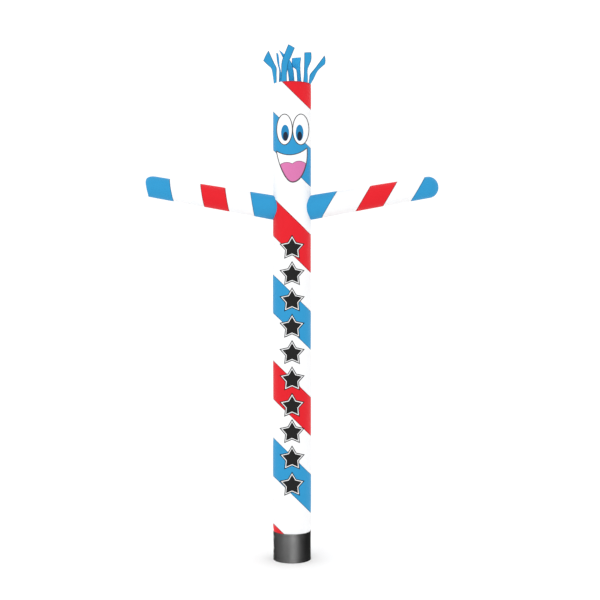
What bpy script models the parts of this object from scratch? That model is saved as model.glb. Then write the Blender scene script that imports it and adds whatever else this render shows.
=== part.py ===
# An inflatable air dancer: a striped cloth tube, blown tight by the fan that its collar slips over,
# with two closed sleeves for arms, an appliqued face and loose strips of hair round the open top.
# Metres, +Z up. The origin is the middle of the collar's lower hem, and the face looks along -Y.

import math

import bmesh
import bpy
from mathutils import Vector
from mathutils.geometry import interpolate_bezier

# The tube
tubeRadius = 0.2286
rimHeight = 5.789
tubeSides = 36
cloth = 0.002

# Sewn joins: panels meet edge to edge, and the stitching draws the blown cloth in a little
seamGap = 0.0003
tubeDrawIn = 0.004
armDrawIn = 0.003
seamShare = 0.12

# The collar of heavy black cloth
collarHeight = 0.348
collarCloth = 0.003
collarHem = 0.030
collarHemProud = 0.001
collarHemStep = 0.004

# Stripes and face are laid out so that they look straight and round from one point in front
viewAcross = 0.098
viewDistance = 12.37
viewHeight = 3.161

# Stripes: how far an edge falls for each metre across, and the repeat down the tube
stripeFall = 0.984
stripeHeight = 0.4734
stripePeriod = 1.9915
stripeTurns = 4
redTop = 6.1816
blueTop = 5.240
leanMost = 0.3
trimReach = 1.0

# Arms: each is a tapered sleeve on a line through the tube's axis
armRise = math.radians(9.76)
armAxisHeight = 4.2517
armRootRadius = 0.1455
armSides = 24
armRootInside = 0.10
armCapRows = 5
armHoleMiddle = 0.25
armHoleDepth = 0.34
saddleDepth = 1.2

# One row an arm. Edges and ends are distances across from the tube's axis. Slant is how far a
# cut leans to the tip for each metre up. The cap's fields shape the sewn end.
armRows = [
    {"side": "left", "across": -1, "slant": 0.353, "tipRadius": 0.126, "edges": (0.485, 0.787, 1.093, 1.464),
     "capStart": 1.702, "capEnd": 1.782, "startSlant": -0.215, "endSlant": 0.360, "capPower": 0.68},
    {"side": "right", "across": 1, "slant": 0.846, "tipRadius": 0.128, "edges": (0.461, 0.866, 1.200, 1.533),
     "capStart": 1.667, "capEnd": 1.788, "startSlant": 0.0, "endSlant": 0.0, "capPower": 1.0},
]
armColours = ("blue", "white", "red", "white", "blue")

# Hair: strips of cloth whose feet are sewn along the rim between two bearings, counted in degrees
# from the front towards +X. Each row is a section: the place across and the rise above the rim of
# its left and right edges, its depth, and how much deeper the right edge lies than the left.
hairCloth = 0.0015
hairStitch = 0.0006
hairCup = 0.010
hairColumns = ("leftAcross", "leftRise", "rightAcross", "rightRise", "depth", "twist")
hairRows = {
    "hair_1": {"foot": (-71, -53), "sections": [
        (-0.232, 0.085, -0.184, 0.085, -0.110, -0.055),
        (-0.247, 0.176, -0.184, 0.172, -0.115, -0.040),
        (-0.298, 0.223, -0.217, 0.243, -0.120, -0.030),
        (-0.347, 0.268, -0.281, 0.386, -0.130, -0.020)]},
    "hair_2": {"foot": (-133, -147), "sections": [
        (-0.160, 0.180, -0.136, 0.180, 0.160, 0.048),
        (-0.174, 0.270, -0.152, 0.270, 0.150, 0.066),
        (-0.187, 0.350, -0.164, 0.350, 0.140, 0.064),
        (-0.198, 0.416, -0.175, 0.416, 0.125, 0.060)]},
    "hair_3": {"foot": (-36, -15), "sections": [
        (-0.127, 0.085, -0.060, 0.095, -0.200, -0.015),
        (-0.125, 0.215, -0.040, 0.225, -0.210, 0.000),
        (-0.095, 0.310, -0.010, 0.290, -0.225, 0.015),
        (-0.042, 0.435, 0.036, 0.395, -0.245, 0.010)]},
    "hair_4": {"foot": (188, 171), "sections": [
        (-0.052, 0.195, 0.020, 0.205, 0.185, 0.010),
        (-0.090, 0.300, -0.012, 0.315, 0.150, 0.020),
        (-0.122, 0.375, -0.056, 0.375, 0.120, 0.030),
        (-0.159, 0.446, -0.086, 0.385, 0.090, 0.030)]},
    "hair_5": {"foot": (163, 148), "sections": [
        (0.056, 0.195, 0.106, 0.200, 0.185, -0.030),
        (0.046, 0.238, 0.102, 0.245, 0.185, -0.040),
        (-0.002, 0.276, 0.103, 0.300, 0.180, -0.010),
        (-0.001, 0.367, 0.112, 0.378, 0.170, 0.005)]},
    "hair_6": {"foot": (37, 57), "sections": [
        (0.143, 0.085, 0.193, 0.085, -0.155, 0.035),
        (0.149, 0.180, 0.194, 0.170, -0.150, 0.035),
        (0.149, 0.272, 0.234, 0.272, -0.155, 0.015),
        (0.150, 0.357, 0.234, 0.360, -0.165, 0.000)]},
    "hair_7": {"foot": (61, 79), "sections": [
        (0.212, 0.060, 0.246, 0.030, -0.085, 0.065),
        (0.225, 0.115, 0.266, 0.070, -0.085, 0.060),
        (0.290, 0.195, 0.318, 0.158, -0.095, 0.050),
        (0.398, 0.333, 0.400, 0.230, -0.110, 0.020)]},
}
hairAcross = 4
hairSteps = 2

# Face: pieces of thin cloth sewn one on another, each outline given on the plane through the
# tube's axis as the place across and the height.
patchCloth = 0.001
patchSides = 18
patchReach = 0.34
patchMargin = 0.08
eyeSteps = 28
ovals = [
    {"name": "eye_left", "colour": "white", "layer": 0,
     "middle": (-0.0914, 5.2462), "half": (0.0952, 0.187)},
    {"name": "eye_right", "colour": "white", "layer": 0,
     "middle": (0.1082, 5.2462), "half": (0.0990, 0.187)},
    {"name": "iris_left", "colour": "blue", "layer": 1,
     "middle": (-0.0840, 5.2045), "half": (0.0483, 0.0985)},
    {"name": "iris_right", "colour": "blue", "layer": 1,
     "middle": (0.0930, 5.2045), "half": (0.0465, 0.0990)},
    {"name": "pupil_left", "colour": "black", "layer": 2,
     "middle": (-0.0790, 5.1620), "half": (0.0300, 0.0555)},
    {"name": "pupil_right", "colour": "black", "layer": 2,
     "middle": (0.0940, 5.1640), "half": (0.0290, 0.0560)},
]
mouthSteps = 10
mouthLeft = (-0.1907, 4.9835)
mouthRight = (0.1833, 5.0214)
mouthBottom = (0.0073, 4.6009)
lipHandles = ((-0.0782, 4.9064), (0.0807, 4.9236))
rightHandles = ((0.2041, 4.8050), (0.1235, 4.6009))
leftHandles = ((-0.0782, 4.6009), (-0.1601, 4.7989))
tongueLeft = (-0.1500, 4.8124)
tongueValley = (0.0049, 4.8295)
tongueRight = (0.1680, 4.8332)
leftHumpHandles = ((-0.1063, 4.8576), (-0.0354, 4.8527))
rightHumpHandles = ((0.0440, 4.8698), (0.1173, 4.8759))
tongueInset = 0.004
tongueMargin = 0.05

colours = {
    "white": ((0.90, 0.91, 0.92), 0.50),
    "blue": ((0.042, 0.342, 0.686), 0.48),
    "red": ((0.855, 0.027, 0.040), 0.48),
    "pink": ((0.783, 0.212, 0.468), 0.50),
    "black": ((0.012, 0.012, 0.013), 0.60),
}


def clothMaterial(colour):
    """A dyed cloth, made once for each colour."""
    name = colour + "_cloth"
    material = bpy.data.materials.get(name)
    if material is None:
        base, roughness = colours[colour]
        material = bpy.data.materials.new(name)
        material.use_nodes = True
        shader = material.node_tree.nodes["Principled BSDF"]
        shader.inputs["Base Color"].default_value = (*base, 1.0)
        shader.inputs["Roughness"].default_value = roughness
        shader.inputs["Metallic"].default_value = 0.0
    return material


def finishMesh(bm, name, colour=None):
    """Turn a bmesh into a smooth-shaded object of the scene."""
    mesh = bpy.data.meshes.new(name)
    bm.to_mesh(mesh)
    bm.free()
    mesh.shade_smooth()
    mesh.set_sharp_from_angle(angle=math.radians(40))
    piece = bpy.data.objects.new(name, mesh)
    bpy.context.scene.collection.objects.link(piece)
    if colour:
        mesh.materials.append(clothMaterial(colour))
    return piece


def thicken(piece, thickness, offset=-1.0):
    """Give a sheet its thickness, inwards from its outer face unless told otherwise."""
    wall = piece.modifiers.new("wall", "SOLIDIFY")
    wall.thickness = thickness
    wall.offset = offset


def cut(piece, cutter, operation="DIFFERENCE"):
    boolean = piece.modifiers.new(operation.lower(), "BOOLEAN")
    boolean.operation = operation
    boolean.object = cutter
    boolean.solver = "EXACT"


def asCutter(cutter):
    cutter.hide_render = True
    cutter.display_type = "WIRE"
    return cutter


def sleeve(name, colour, place, rings, sides, thickness, span=(0.0, math.tau)):
    """A sheet wound round an axis. Place holds its origin, its axis and the direction away from
    bearing 0. Each ring gives, at a bearing, the distance along the axis and the radius."""
    origin, axis, away = place
    aside = away.cross(axis)
    bm = bmesh.new()
    bmesh.ops.create_grid(bm, x_segments=sides, y_segments=len(rings) - 1, size=0.5)
    for vert in bm.verts:
        bearing = span[0] + (vert.co.x + 0.5) * (span[1] - span[0])
        ring = rings[round((vert.co.y + 0.5) * (len(rings) - 1))]
        along, radius = ring(bearing)
        vert.co = origin + axis * along + (aside * math.sin(bearing) - away * math.cos(bearing)) * radius
    bmesh.ops.remove_doubles(bm, verts=bm.verts, dist=1e-5)
    piece = finishMesh(bm, name, colour)
    thicken(piece, thickness)
    return piece


def panelRings(low, high, radiusAt, drawLow, drawHigh):
    """Four rings of a panel between two edges: drawn in at its seams and full between them."""
    def ring(share, inset, drawIn):
        def at(bearing):
            start, end = low(bearing), high(bearing)
            along = start + (end - start) * share + inset
            return along, radiusAt(along) - drawIn
        return at
    return [
        ring(0.0, seamGap / 2, drawLow),
        ring(seamShare, 0.0, 0.0),
        ring(1.0 - seamShare, 0.0, 0.0),
        ring(1.0, -seamGap / 2, drawHigh),
    ]


# The tube

tubePlace = (Vector((0, 0, 0)), Vector((0, 0, 1)), Vector((0, 1, 0)))


def tubeRadiusAt(height):
    return tubeRadius


def stripeEdge(middle):
    """The slanting edge of a stripe, in the plane through its line and the viewing point."""
    lean = (middle - stripeFall * viewAcross - viewHeight) / viewDistance

    def at(bearing):
        across = tubeRadius * math.sin(bearing)
        depth = -tubeRadius * math.cos(bearing)
        return middle - stripeFall * across + lean * depth
    return at


def cutterBox(name, low, high):
    """A box over the whole tube between two heights, which trims the panels that cross an end."""
    bm = bmesh.new()
    bmesh.ops.create_cube(bm, size=1.0)
    for vert in bm.verts:
        vert.co.z = low if vert.co.z < 0 else high
    return asCutter(finishMesh(bm, name))


def buildTube():
    """Red, white and blue panels from the rim down to the collar, each a slanting ring."""
    edges = []
    for turn in range(stripeTurns):
        for colour, top in (("red", redTop), ("blue", blueTop)):
            edges.append((colour, top - turn * stripePeriod))
    above = cutterBox("above_rim", rimHeight, rimHeight + trimReach)
    below = cutterBox("below_tube", -trimReach, collarHeight + seamGap)
    panels = {}
    counts = {"red": 0, "white": 0, "blue": 0}

    def addPanel(colour, top, bottom):
        counts[colour] += 1
        name = f"tube_{colour}_{counts[colour]}"
        rings = panelRings(stripeEdge(bottom), stripeEdge(top), tubeRadiusAt, tubeDrawIn, tubeDrawIn)
        piece = sleeve(name, colour, tubePlace, rings, tubeSides, cloth)
        spread = tubeRadius * (stripeFall + leanMost)
        if top + spread > rimHeight:
            cut(piece, above)
        if bottom - spread < collarHeight:
            cut(piece, below)
        panels[name] = piece

    for index, (colour, top) in enumerate(edges):
        if top - stripeHeight - tubeRadius * stripeFall > rimHeight or top < 0:
            continue
        addPanel(colour, top, top - stripeHeight)
        if index + 1 < len(edges) and edges[index + 1][1] > 0:
            addPanel("white", top - stripeHeight, edges[index + 1][1])
    return panels


def buildCollar():
    """The black sleeve that slips over the blower, with a hem turned up at the floor."""
    outer = tubeRadius + collarCloth / 2 - cloth / 2

    def ring(height, proud):
        return lambda bearing: (height, outer + proud)
    rings = [
        ring(0.0, collarHemProud),
        ring(collarHem, collarHemProud),
        ring(collarHem + collarHemStep, 0.0),
        ring(collarHeight, 0.0),
    ]
    return sleeve("collar", "black", tubePlace, rings, tubeSides, collarCloth)


# The arms

def armPlace(row):
    axis = Vector((row["across"] * math.cos(armRise), 0, math.sin(armRise)))
    top = Vector((-row["across"] * math.sin(armRise), 0, math.cos(armRise)))
    return Vector((0, 0, armAxisHeight)), axis, -top


def armRadiusFor(row):
    """The sleeve's taper, from where it leaves the tube to where its end begins."""
    start = tubeRadius / math.cos(armRise)
    end = row["capStart"] / math.cos(armRise)
    slope = (row["tipRadius"] - armRootRadius) / (end - start)
    return lambda along: armRootRadius + slope * (along - start)


def slantEdge(across, slant, radiusAt):
    middle = across / math.cos(armRise)
    return lambda bearing: middle + slant * radiusAt(middle) * math.cos(bearing)


def capRings(row, radiusAt):
    """Rings that close the sleeve's end, from its shoulder to one point."""
    start = row["capStart"] / math.cos(armRise)
    length = (row["capEnd"] - row["capStart"]) / math.cos(armRise)
    radius = radiusAt(start)

    def ring(angle):
        reach = math.sin(angle)
        size = radius * max(math.cos(angle), 0.0) ** row["capPower"]

        def at(bearing):
            if reach > 0.999999:
                return start + length, 0.0
            shoulder = start + row["startSlant"] * radius * math.cos(bearing)
            end = start + length + row["endSlant"] * size * math.cos(bearing)
            return shoulder + (end - shoulder) * reach, size
        return at
    return [ring(math.pi / 2 * step / armCapRows) for step in range(armCapRows + 1)]


def buildArm(row):
    place = armPlace(row)
    radiusAt = armRadiusFor(row)
    stops = (armRootInside,) + row["edges"]
    panels = []
    for index, colour in enumerate(armColours):
        name = f"arm_{row['side']}_{index + 1}_{colour}"
        slant = row["slant"] if index else 0.0
        low = slantEdge(stops[index], slant, radiusAt)
        if index < len(armColours) - 1:
            high = slantEdge(stops[index + 1], row["slant"], radiusAt)
            drawLow = armDrawIn if index else 0.0
            rings = panelRings(low, high, radiusAt, drawLow, armDrawIn)
        else:
            high = slantEdge(row["capStart"], row["startSlant"], radiusAt)
            rings = panelRings(low, high, radiusAt, armDrawIn, 0.0)[:3] + capRings(row, radiusAt)
        panels.append(sleeve(name, colour, place, rings, armSides, cloth))
    return panels


def tubeCutter():
    """The tube's outer face with a stitch of room, which trims the foot of each arm to a saddle."""
    bm = bmesh.new()
    radius = tubeRadius + seamGap / math.cos(math.pi / tubeSides)
    bmesh.ops.create_cone(
        bm, cap_ends=True, segments=tubeSides, radius1=radius, radius2=radius, depth=saddleDepth)
    bmesh.ops.translate(bm, verts=bm.verts, vec=(0, 0, armAxisHeight))
    return asCutter(finishMesh(bm, "tube_outer_face"))


def armHoleCutter(row):
    """The bore of an arm's foot, which opens the tube's wall into the sleeve."""
    radius = armRootRadius - cloth
    origin, axis, away = armPlace(row)
    bm = bmesh.new()
    bmesh.ops.create_cone(
        bm, cap_ends=True, segments=armSides, radius1=radius, radius2=radius, depth=armHoleDepth)
    turn = Vector((0, 0, 1)).rotation_difference(axis).to_matrix().to_4x4()
    bmesh.ops.transform(bm, matrix=turn, verts=bm.verts)
    bmesh.ops.translate(bm, verts=bm.verts, vec=origin + axis * armHoleMiddle)
    return asCutter(finishMesh(bm, f"arm_{row['side']}_hole"))


# The hair

def onRim(bearing):
    radius = tubeRadius - cloth / 2
    return Vector((radius * math.sin(bearing), -radius * math.cos(bearing), rimHeight + hairStitch))


def smoothRow(rows, place):
    """A value between rows that is read from a smooth curve through them."""
    index = min(int(place), len(rows) - 2)
    share = place - index
    before, start, end, after = (rows[min(max(index + step, 0), len(rows) - 1)] for step in (-1, 0, 1, 2))
    return 0.5 * (
        2 * start
        + (end - before) * share
        + (2 * before - 5 * start + 4 * end - after) * share ** 2
        + (3 * start - before - 3 * end + after) * share ** 3
    )


def buildHair(name, strip):
    """A strip of cloth that rises from its sewn foot, cupped a little across its width."""
    first, last = (math.radians(bearing) for bearing in strip["foot"])
    lefts, rights = [onRim(first)], [onRim(last)]
    for row in strip["sections"]:
        section = dict(zip(hairColumns, row))
        near, far = (section["depth"] + step * section["twist"] / 2 for step in (-1, 1))
        lefts.append(Vector((section["leftAcross"], near, rimHeight + section["leftRise"])))
        rights.append(Vector((section["rightAcross"], far, rimHeight + section["rightRise"])))
    steps = hairSteps * (len(lefts) - 1)
    bm = bmesh.new()
    bmesh.ops.create_grid(bm, x_segments=hairAcross, y_segments=steps, size=0.5)
    for vert in bm.verts:
        share, place = vert.co.x + 0.5, (vert.co.y + 0.5) * (len(lefts) - 1)
        left, right = smoothRow(lefts, place), smoothRow(rights, place)
        bow = Vector((0, 0, 1)).cross(right - left).normalized() * hairCup
        flat = left.lerp(right, share) - bow * (1 - (2 * share - 1) ** 2)
        vert.co = onRim(first + (last - first) * share).lerp(flat, place) if place < 1 else flat
    piece = finishMesh(bm, name, "blue")
    thicken(piece, hairCloth, 0.0)
    return piece


# The face

def viewPrism(name, outline):
    """A prism over an outline on the plane of the axis, drawn in towards the viewing point."""
    viewpoint = Vector((viewAcross, -viewDistance, viewHeight))
    bm = bmesh.new()
    corners = [bm.verts.new((across, 0.0, height)) for across, height in outline]
    back = bm.faces.new(corners)
    front = bmesh.ops.extrude_face_region(bm, geom=[back])["geom"]
    for vert in (item for item in front if isinstance(item, bmesh.types.BMVert)):
        vert.co = vert.co.lerp(viewpoint, patchReach / viewDistance)
    bmesh.ops.recalc_face_normals(bm, faces=bm.faces)
    return asCutter(finishMesh(bm, name))


def facePatch(name, colour, layer, outline, cutters):
    """A thin cloth piece that hugs the tube's front on its layer, cut to its outline."""
    lift = seamGap + layer * (patchCloth + seamGap) + patchCloth
    heights = [height for across, height in outline]
    low, high = min(heights) - patchMargin, max(heights) + patchMargin
    rings = [lambda bearing, end=end: (end, tubeRadius + lift) for end in (low, high)]
    piece = sleeve(name, colour, tubePlace, rings, patchSides, patchCloth, (-math.pi / 2, math.pi / 2))
    for cutter in cutters:
        cut(piece, cutter, "INTERSECT")
    return piece


def curveThrough(start, handles, end):
    """Points along one curved edge, its end left out."""
    knots = [Vector((*point, 0)) for point in (start, *handles, end)]
    return [(point.x, point.y) for point in interpolate_bezier(*knots, mouthSteps)][:-1]


def inset(outline, distance):
    """An outline moved in towards its middle."""
    middle = sum((Vector(point) for point in outline), Vector((0, 0))) / len(outline)
    moved = []
    for point in outline:
        away = Vector(point) - middle
        moved.append(tuple(middle + away * (1 - distance / away.length)))
    return moved


def buildFace():
    for row in ovals:
        (across, height), (halfAcross, halfHeight) = row["middle"], row["half"]
        turns = [math.tau * step / eyeSteps for step in range(eyeSteps)]
        outline = [(across + halfAcross * math.cos(a), height + halfHeight * math.sin(a)) for a in turns]
        prism = viewPrism(row["name"] + "_outline", outline)
        facePatch(row["name"], row["colour"], row["layer"], outline, [prism])
    mouth = (
        curveThrough(mouthLeft, lipHandles, mouthRight)
        + curveThrough(mouthRight, rightHandles, mouthBottom)
        + curveThrough(mouthBottom, leftHandles, mouthLeft)
    )
    facePatch("mouth", "white", 0, mouth, [viewPrism("mouth_outline", mouth)])
    below = mouthBottom[1] - tongueMargin
    tongueTop = (
        curveThrough(tongueLeft, leftHumpHandles, tongueValley)
        + curveThrough(tongueValley, rightHumpHandles, tongueRight)
        + [tongueRight, (tongueRight[0] + tongueMargin, below), (tongueLeft[0] - tongueMargin, below)]
    )
    within = viewPrism("tongue_sides", inset(mouth, tongueInset))
    facePatch("tongue", "pink", 1, tongueTop, [within, viewPrism("tongue_top", tongueTop)])


def main():
    for item in list(bpy.data.objects):
        bpy.data.objects.remove(item, do_unlink=True)
    panels = buildTube()
    buildCollar()
    outerFace = tubeCutter()
    for row in armRows:
        arm = buildArm(row)
        cut(arm[0], outerFace)
        hole = armHoleCutter(row)
        cut(panels["tube_white_2"], hole)
        if row["side"] == "left":
            cut(panels["tube_red_2"], hole)
    for name, strip in hairRows.items():
        buildHair(name, strip)
    buildFace()


main()
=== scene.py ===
import math

import bmesh
import bpy
import numpy as np
from mathutils import Matrix, Vector


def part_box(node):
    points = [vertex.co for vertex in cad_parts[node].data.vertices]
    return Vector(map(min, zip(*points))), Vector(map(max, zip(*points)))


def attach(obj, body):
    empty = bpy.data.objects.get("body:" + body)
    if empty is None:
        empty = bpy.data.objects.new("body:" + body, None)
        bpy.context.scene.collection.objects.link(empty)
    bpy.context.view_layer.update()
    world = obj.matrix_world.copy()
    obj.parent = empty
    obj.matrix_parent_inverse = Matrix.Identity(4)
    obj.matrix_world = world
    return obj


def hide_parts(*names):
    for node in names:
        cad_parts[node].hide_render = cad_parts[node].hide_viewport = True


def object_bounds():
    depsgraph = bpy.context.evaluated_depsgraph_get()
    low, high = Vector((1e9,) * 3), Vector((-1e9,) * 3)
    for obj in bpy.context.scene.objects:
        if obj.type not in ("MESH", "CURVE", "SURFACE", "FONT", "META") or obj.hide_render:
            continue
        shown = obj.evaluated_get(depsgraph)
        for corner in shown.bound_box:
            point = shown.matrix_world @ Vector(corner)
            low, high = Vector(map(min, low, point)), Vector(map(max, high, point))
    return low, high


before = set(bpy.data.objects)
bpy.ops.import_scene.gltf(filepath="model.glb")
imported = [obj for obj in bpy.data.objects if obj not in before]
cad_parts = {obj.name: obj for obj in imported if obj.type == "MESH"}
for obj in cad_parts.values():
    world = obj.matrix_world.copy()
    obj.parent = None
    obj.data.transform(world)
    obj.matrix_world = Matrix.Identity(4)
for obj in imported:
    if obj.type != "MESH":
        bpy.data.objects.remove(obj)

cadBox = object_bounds()
scene = bpy.context.scene
scene.view_settings.view_transform = "Standard"

# An air dancer: a striped nylon tube on a black collar, two sleeves for arms, a sewn face, hair strips

camera = {"place": (0.098, -12.37, 3.161), "lens": 60.72, "sensor": 36.0, "reach": 6000.0}


def addObject(name, data):
    added = bpy.data.objects.new(name, data)
    scene.collection.objects.link(added)
    return added


lens = bpy.data.cameras.new("camera")
lens.lens = camera["lens"]
lens.sensor_width = camera["sensor"]
lens.clip_end = camera["reach"]
scene.camera = addObject("camera", lens)
scene.camera.location = camera["place"]
scene.camera.rotation_euler = (math.pi / 2, 0, 0)
print("camera")


# Cloth finishes. Colours are dyed cloth as it looks in even light, except the second blue, which is the same
# blue painted lighter for hair strips in shade. Line is a painted shade along the cloth's edges and seams,
# standing for the shade in a seam's groove and under a lap.

finishes = {
    "white": {"base": (0.90, 0.905, 0.91), "shade": (0.80, 0.81, 0.83), "rough": 0.55, "specular": 0.20},
    "blue": {"base": (0.029, 0.300, 0.583), "shade": (0.024, 0.248, 0.508), "rough": 0.50, "specular": 0.10,
             "line": (0.010, 0.110, 0.225)},
    # The same blue painted lighter, for the hair strips that stand in the front strips' shade
    "bluePaintedLight": {"base": (0.039, 0.400, 0.775), "shade": (0.032, 0.330, 0.676), "rough": 0.50,
                   "specular": 0.10, "line": (0.013, 0.145, 0.300)},
    "red": {"base": (0.738, 0.014, 0.024), "shade": (0.608, 0.011, 0.018), "rough": 0.50, "specular": 0.10,
            "line": (0.210, 0.003, 0.007)},
    "iris": {"base": (0.010, 0.212, 0.465), "shade": (0.007, 0.175, 0.400), "rough": 0.55, "specular": 0.20},
    "pupil": {"base": (0.007, 0.016, 0.040), "shade": (0.005, 0.012, 0.030), "rough": 0.60, "specular": 0.20},
    "pink": {"base": (0.665, 0.182, 0.412), "shade": (0.560, 0.145, 0.345), "rough": 0.55, "specular": 0.20,
             "line": (0.130, 0.050, 0.090)},
    "print": {"base": (0.006, 0.006, 0.006), "shade": (0.004, 0.004, 0.004), "rough": 0.50, "specular": 0.20},
}
weave = {"cell": 0.0055, "thread": 0.0005, "yarn": 0.0011, "lineBump": 0.00010, "yarnBump": 0.00004,
         "lineShade": 0.30, "patchy": 0.22, "crumple": 0.0007, "roughSpread": 0.07, "sheen": 0.03,
         "edgeReach": 0.010, "edgeFade": (0.14, 0.28), "seamShadeShare": 0.85}
spun = {"map": ("TexCoord", "Object", {}), "lines": "DIAGONAL", "scale": 620.0, "wander": 1.5,
        "bump": 0.0001, "dark": 0.86, "rough": 0.6, "specular": 0.25, "sheen": 0.15}
satinStitched = {"map": ("UVMap", "UV", {"uv_map": "cloth"}), "lines": "X", "scale": 420.0, "wander": 0.6,
                 "bump": 0.00015, "dark": 0.7, "rough": 0.5, "specular": 0.2, "sheen": 0.1}


def newMaterial(name):
    material = bpy.data.materials.new(name)
    material.use_nodes = True
    return material, material.node_tree


def feed(socket, source):
    # Another node's output, a colour or a number
    if isinstance(source, bpy.types.NodeSocket):
        socket.id_data.links.new(source, socket)
    else:
        socket.default_value = (*source, 1.0) if socket.type == "RGBA" else source


def shade(material, **sockets):
    shader = material.node_tree.nodes["Principled BSDF"]
    for socket, source in sockets.items():
        feed(shader.inputs[socket.replace("_", " ")], source)
    return material


def addNode(tree, kind, output, **fields):
    # A field with a capital is a socket, and any other is a setting of the node
    node = tree.nodes.new("ShaderNode" + kind)
    for field, value in fields.items():
        if field[0].isupper():
            feed(node.inputs[field.replace("_", " ")], value)
        else:
            setattr(node, field, value)
    return node.outputs[output]


def combine(tree, operation, *values):
    node = tree.nodes.new("ShaderNodeMath")
    node.operation = operation
    for socket, value in zip(node.inputs, values):
        feed(socket, value)
    return node.outputs["Value"]


def blend(tree, share, first, second):
    # The Mix node's colours are its sockets 6 and 7, and their blend is its output 2
    node = tree.nodes.new("ShaderNodeMix")
    node.data_type = "RGBA"
    for socket, source in ((0, share), (6, first), (7, second)):
        feed(node.inputs[socket], source)
    return node.outputs[2]


def spread(tree, value, low, high, least, most):
    return addNode(tree, "MapRange", "Result", Value=value, From_Min=low, From_Max=high,
                   To_Min=least, To_Max=most)


def noise(tree, place, scale, detail, **more):
    return addNode(tree, "TexNoise", "Fac", Vector=place, Scale=scale, Detail=detail, **more)


def yarnGrid(tree, place, wide, high, yarn, soft, shift):
    # The yarns are the gaps between bricks
    return addNode(tree, "TexBrick", "Fac", Vector=place, offset=shift, Scale=1.0, Brick_Width=wide,
                   Row_Height=high, Mortar_Size=yarn, Mortar_Smooth=soft)


def bumpOver(tree, height, distance, **under):
    return addNode(tree, "Bump", "Normal", Height=height, Distance=distance, Strength=1.0, **under)


def ripstop(name, finish):
    # Coated nylon with a thicker yarn every few millimetres, faintly crumpled and unevenly bright
    material, tree = newMaterial(name)
    onCloth = addNode(tree, "UVMap", "UV", uv_map="cloth")
    inRoom = addNode(tree, "TexCoord", "Object")
    yarn = weave["yarn"]
    lines = yarnGrid(tree, onCloth, weave["cell"], weave["cell"], weave["thread"], 0.6, 0.0)
    yarns = yarnGrid(tree, onCloth, yarn, yarn / 2, yarn / 6, 1.0, 0.5)
    broad = noise(tree, inRoom, 2.6, 4.0, Roughness=0.55)
    crumple = noise(tree, inRoom, 21.0, 5.0, Roughness=0.5, Distortion=0.8)
    shaded = combine(tree, "ADD", spread(tree, broad, 0.35, 0.70, 0.0, weave["patchy"]),
                     combine(tree, "MULTIPLY", lines, weave["lineShade"]))
    colour = blend(tree, shaded, finish["base"], finish["shade"])
    if "line" in finish:
        # Painted shade: the cloth is darkened along its edges and seams, standing for the shade in a seam's
        # groove and along a lapped edge
        edge = addNode(tree, "UVMap", "UV", uv_map="edge")
        sides = [addNode(tree, "SeparateXYZ", axis, Vector=edge) for axis in "XY"]
        nearest = combine(tree, "MAXIMUM", *sides)
        seamShade = spread(tree, nearest, *weave["edgeFade"], 0.0, weave["seamShadeShare"])
        colour = blend(tree, seamShade, colour, finish["line"])
    rough = spread(tree, crumple, 0.3, 0.7, finish["rough"] - weave["roughSpread"],
                   finish["rough"] + weave["roughSpread"])
    bump = bumpOver(tree, crumple, weave["crumple"])
    bump = bumpOver(tree, lines, weave["lineBump"], Normal=bump)
    bump = bumpOver(tree, yarns, -weave["yarnBump"], Normal=bump)
    return shade(material, Base_Color=colour, Roughness=rough, Normal=bump, Sheen_Weight=weave["sheen"],
                 Specular_IOR_Level=finish["specular"], Sheen_Roughness=0.45)


def threadMaterial(name, colour, finish=spun):
    # Twist lines run round spun thread, and satin's threads lie side by side across its band
    material, tree = newMaterial(name)
    node, output, fields = finish["map"]
    place = addNode(tree, node, output, **fields)
    ridges = addNode(tree, "TexWave", "Fac", Vector=place, bands_direction=finish["lines"],
                     Scale=finish["scale"], Distortion=finish["wander"], Detail=1.0)
    uneven = noise(tree, place, 9.0, 3.0) if finish is spun else ridges
    dark = [finish["dark"] * channel for channel in colour]
    return shade(material, Base_Color=blend(tree, uneven, dark, colour), Roughness=finish["rough"],
                 Normal=bumpOver(tree, ridges, finish["bump"]), Specular_IOR_Level=finish["specular"],
                 Sheen_Weight=finish["sheen"])


cloths = {name: ripstop(name + "Ripstop", finish) for name, finish in finishes.items()}
threads = {name: threadMaterial(name + "Thread", finishes[name]["base"])
           for name in ("white", "blue", "red", "iris", "pupil", "pink")}
threads["black"] = threadMaterial("blackThread", (0.020, 0.020, 0.022))
satinThread = threadMaterial("satinThread", (0.060, 0.060, 0.064), satinStitched)
print("finishes")


# Sheets are grids laid over a shape. A mould says where each share across and up goes, the place
# on the flat cloth in metres, and how near the edges are.

def addPiece(name, mesh, nodes=()):
    piece = addObject(name, mesh)
    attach(piece, "root")
    if nodes:
        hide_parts(*nodes)
    return piece


def openMeshes(*meshes):
    bm = bmesh.new()
    for mesh in meshes:
        bm.from_mesh(mesh)
    return bm


def saveMesh(bm, mesh):
    bm.to_mesh(mesh)
    bm.free()
    return mesh


def mouldGrid(name, columns, rows, mould, material):
    bm = bmesh.new()
    bmesh.ops.create_grid(bm, x_segments=columns, y_segments=rows, size=0.5)
    mesh = saveMesh(bm, bpy.data.meshes.new(name))
    shares = np.empty(len(mesh.vertices) * 3)
    mesh.vertices.foreach_get("co", shares)
    shares = shares.reshape(-1, 3) + 0.5
    points, *layers = mould(shares[:, 0], shares[:, 1])
    mesh.vertices.foreach_set("co", np.ascontiguousarray(points).ravel())
    corners = np.empty(len(mesh.loops), dtype=np.int32)
    mesh.loops.foreach_get("vertex_index", corners)
    for layer, places in zip(("cloth", "edge"), layers):
        uv = mesh.uv_layers.new(name=layer)
        uv.data.foreach_set("uv", np.ascontiguousarray(places[corners]).ravel())
    bm = openMeshes(mesh)
    bmesh.ops.remove_doubles(bm, verts=bm.verts, dist=2e-6)
    saveMesh(bm, mesh)
    mesh.shade_smooth()
    mesh.materials.append(material)
    return mesh


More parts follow.
